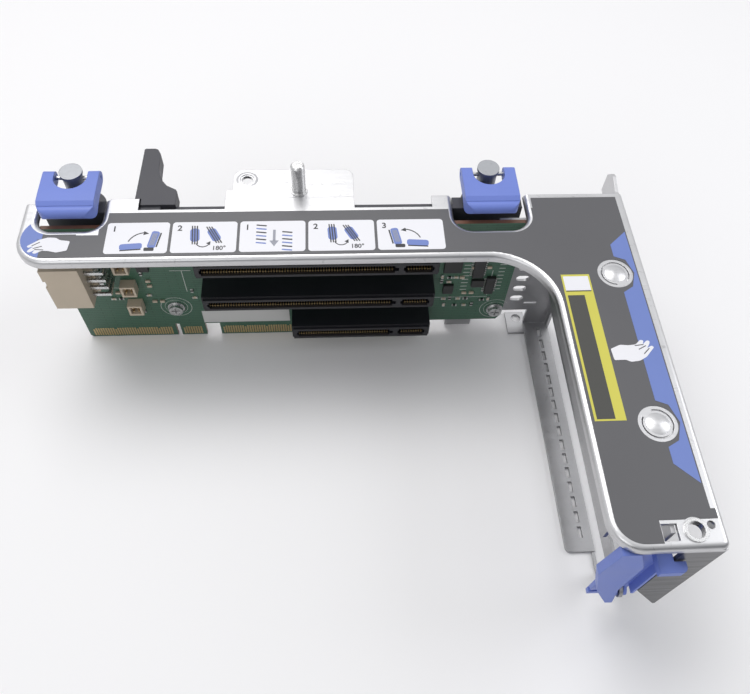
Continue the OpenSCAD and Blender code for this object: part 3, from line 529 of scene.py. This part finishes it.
def ring_print(bm, x, z, r, width, paint, a0=0, a1=360):
    """A printed ring on the board's front face."""
    before = set(bm.verts)
    for k in range(36):
        s0, s1 = (math.radians(a0 + (a1 - a0) * (k + d) / 36) for d in (0, 1))
        corner = [(r * math.cos(s0), r * math.sin(s0)), (r * math.cos(s1), r * math.sin(s1)),
                  ((r + width) * math.cos(s1), (r + width) * math.sin(s1)),
                  ((r + width) * math.cos(s0), (r + width) * math.sin(s0))]
        face = bm.faces.new([bm.verts.new((x + u, FRONT - 0.03, z + v)) for u, v in corner])
        face.material_index = paint
    fresh = [v for v in bm.verts if v not in before]
    bmesh.ops.remove_doubles(bm, verts=fresh, dist=0.001)


def make_board_print():
    """Outlines printed on the board round its screws, headers and chips."""
    bm = bmesh.new()
    for x, z in ((44.5, 20.0), (175.4, 14.6)):
        ring_print(bm, x, z, 6.0, 0.18, 0, *((0, 360) if x < 100 else (35, 325)))
        ring_print(bm, x, z, 4.4, 0.12, 0, *((0, 360) if x < 100 else (35, 325)))
    lines = [(33.4, 55.0, 6.0, 0.2), (46.0, 43.0, 8.0, 0.2), (50.4, 30.0, 0.2, 13.0), (20.0, 33.0, 12.0, 0.2),
             (149.0, 60.0, 26.0, 0.2), (149.0, 23.0, 22.0, 0.2), (170.6, 24.0, 0.2, 16.0), (150.0, 50.4, 10.0, 0.2)]
    for x, z, w, h in lines:
        block(bm, (x, FRONT - 0.03, z), (x + w, FRONT, z + h))
    for k in range(14):
        z = 28.0 + 2.2 * k
        for x0, x1 in ((159.0, 161.6), (173.0, 175.4)):
            block(bm, (x0, FRONT - 0.03, z), (x1, FRONT, z + 0.3))
    return piece("board_print", bm, "cage", ["silkscreen"])


def make_small_parts():
    """Chip resistors and capacitors with tinned ends, and two leaded chips."""
    bm = bmesh.new()
    tin, dark, tan = 0, 1, 2
    rows = [(150.5, 36.0), (153.0, 36.0), (155.5, 36.0), (150.5, 33.2), (153.0, 33.2),
            (150.5, 56.0), (153.5, 56.0), (156.5, 56.0), (150.5, 61.0), (154.5, 61.0),
            (158.5, 61.0), (162.5, 61.0), (171.0, 21.0), (168.0, 21.0), (152.0, 22.0),
            (155.0, 22.0), (158.0, 22.0), (161.0, 22.0), (153.0, 17.5), (157.0, 17.5),
            (161.0, 17.5), (164.6, 17.5), (20.4, 26.0), (23.4, 26.0), (26.4, 17.0),
            (30.0, 17.0), (52.0, 26.0), (52.0, 30.0),
            (49.0, 50.0), (52.0, 50.0), (49.0, 61.0), (44.0, 61.0), (34.6, 28.0), (34.6, 41.0), (38.0, 56.0)]
    for k, (x, z) in enumerate(rows):
        long_way = k % 3 == 0
        w, h = (1.0, 1.9) if long_way else (1.9, 1.0)
        block(bm, (x, FRONT - 0.55, z), (x + w, FRONT, z + h), dark if k % 2 else tan)
        if long_way:
            block(bm, (x - 0.03, FRONT - 0.6, z - 0.05), (x + w + 0.03, FRONT, z + 0.4), tin)
            block(bm, (x - 0.03, FRONT - 0.6, z + h - 0.4), (x + w + 0.03, FRONT, z + h + 0.05), tin)
        else:
            block(bm, (x - 0.05, FRONT - 0.6, z - 0.03), (x + 0.4, FRONT, z + h + 0.03), tin)
            block(bm, (x + w - 0.4, FRONT - 0.6, z - 0.03), (x + w + 0.05, FRONT, z + h + 0.03), tin)
    for x, z, w, h in ((162.6, 37.0, 4.4, 13.0), (168.8, 26.6, 3.6, 10.0)):
        block(bm, (x, FRONT - 1.5, z), (x + w, FRONT - 0.1, z + h), dark, 0.15)
        for k in range(int(h / 1.27)):
            lead = z + 0.5 + 1.27 * k
            block(bm, (x - 0.9, FRONT - 0.35, lead), (x, FRONT, lead + 0.45), tin)
            block(bm, (x + w, FRONT - 0.35, lead), (x + w + 0.9, FRONT, lead + 0.45), tin)
    return piece("small_parts", bm, "cage", ["tin_plate", "chip_black", "beige_plastic"])


make_label_figures()
make_hands()
make_sticker()
make_slot_springs()
make_card_edge()
make_board_print()
make_small_parts()

# ---------- camera, lights, floor ----------

camera_data = bpy.data.cameras.new("camera")
camera_data.lens = 35.6
camera_data.sensor_width = 36.0
camera_data.dof.use_dof = False
camera_data.clip_start = 0.01
camera = bpy.data.objects.new("camera", camera_data)
scene.collection.objects.link(camera)
look = Vector((0.0561, 0.5402, -0.8396)).normalized()
up = Vector((0.0225, 0.8400, 0.5420))
right = look.cross(up).normalized()
up = right.cross(look).normalized()
turn = Matrix((right, up, -look)).transposed().to_4x4()
camera.matrix_world = Matrix.Translation((-0.0804, -0.18415, 0.2662)) @ turn
scene.camera = camera

world = bpy.data.worlds.new("studio")
world.use_nodes = True
scene.world = world
world_tree = world.node_tree
background = world_tree.nodes["Background"]
background.inputs["Color"].default_value = (0.93, 0.94, 0.96, 1.0)
background.inputs["Strength"].default_value = 0.46
show = world_tree.nodes.new("ShaderNodeBackground")
sky = world_tree.nodes.new("ShaderNodeTexCoord")
lean = world_tree.nodes.new("ShaderNodeVectorMath")
lean.operation = "DOT_PRODUCT"
lean.inputs[1].default_value = (-0.25, 0.62, 0.74)
tone = world_tree.nodes.new("ShaderNodeValToRGB")
tone.color_ramp.elements[0].position = 0.30
tone.color_ramp.elements[0].color = (0.16, 0.165, 0.18, 1.0)
tone.color_ramp.elements[1].position = 0.72
tone.color_ramp.elements[1].color = (0.93, 0.935, 0.95, 1.0)
shift = world_tree.nodes.new("ShaderNodeMath")
shift.operation = "MULTIPLY_ADD"
shift.inputs[1].default_value = 0.5
shift.inputs[2].default_value = 0.5
path = world_tree.nodes.new("ShaderNodeLightPath")
seen = world_tree.nodes.new("ShaderNodeMath")
seen.operation = "MAXIMUM"
blend = world_tree.nodes.new("ShaderNodeMixShader")
link = world_tree.links.new
link(sky.outputs["Generated"], lean.inputs[0])
link(lean.outputs["Value"], shift.inputs[0])
link(shift.outputs["Value"], tone.inputs["Fac"])
link(tone.outputs["Color"], show.inputs["Color"])
link(path.outputs["Is Camera Ray"], seen.inputs[0])
link(path.outputs["Is Glossy Ray"], seen.inputs[1])
link(seen.outputs["Value"], blend.inputs["Fac"])
link(background.outputs["Background"], blend.inputs[1])
link(show.outputs["Background"], blend.inputs[2])
link(blend.outputs["Shader"], world_tree.nodes["World Output"].inputs["Surface"])


def lamp(name, place_at, aim, width, depth, power, colour=(1, 1, 1)):
    data = bpy.data.lights.new(name, "AREA")
    data.shape = "RECTANGLE"
    data.size, data.size_y = width, depth
    data.energy = power
    data.color = colour
    obj = bpy.data.objects.new(name, data)
    scene.collection.objects.link(obj)
    direction = Vector(aim) - Vector(place_at)
    rotation = direction.to_track_quat("-Z", "Y").to_matrix().to_4x4()
    obj.matrix_world = Matrix.Translation(place_at) @ rotation
    return obj


lamp("top_light", (-0.30, 0.30, 0.9), (-0.08, -0.02, 0.05), 0.7, 0.5, 5.2, (1.0, 0.99, 0.98))
lamp("side_light", (0.60, 0.05, 0.55), (-0.08, -0.02, 0.05), 0.4, 0.5, 1.6, (0.97, 0.98, 1.0))
lamp("fill_light", (-0.50, -0.75, 0.6), (-0.08, -0.02, 0.05), 0.6, 0.5, 1.3)


def make_floor():
    mesh = bpy.data.meshes.new("floor")
    bm = bmesh.new()
    bmesh.ops.create_grid(bm, x_segments=2, y_segments=2, size=4.0)
    bmesh.ops.translate(bm, verts=bm.verts, vec=(0.1, 0.0, -0.0002))
    bm.to_mesh(mesh)
    bm.free()
    floor = bpy.data.objects.new("floor", mesh)
    scene.collection.objects.link(floor)
    material, tree, shader = start_material("pale_floor")
    cloud = place(tree, grain_group, Scale=60.0, Cloud_Scale=1.2)
    tone = mix_colour(tree, cloud.outputs["Cloud"], (0.885, 0.88, 0.89), (0.915, 0.91, 0.92))
    tree.links.new(tone, shader.inputs["Base Color"])
    shader.inputs["Roughness"].default_value = 0.55
    shader.inputs["Specular IOR Level"].default_value = 0.2
    mesh.materials.append(material)


make_floor()

scene.view_settings.view_transform = "Standard"
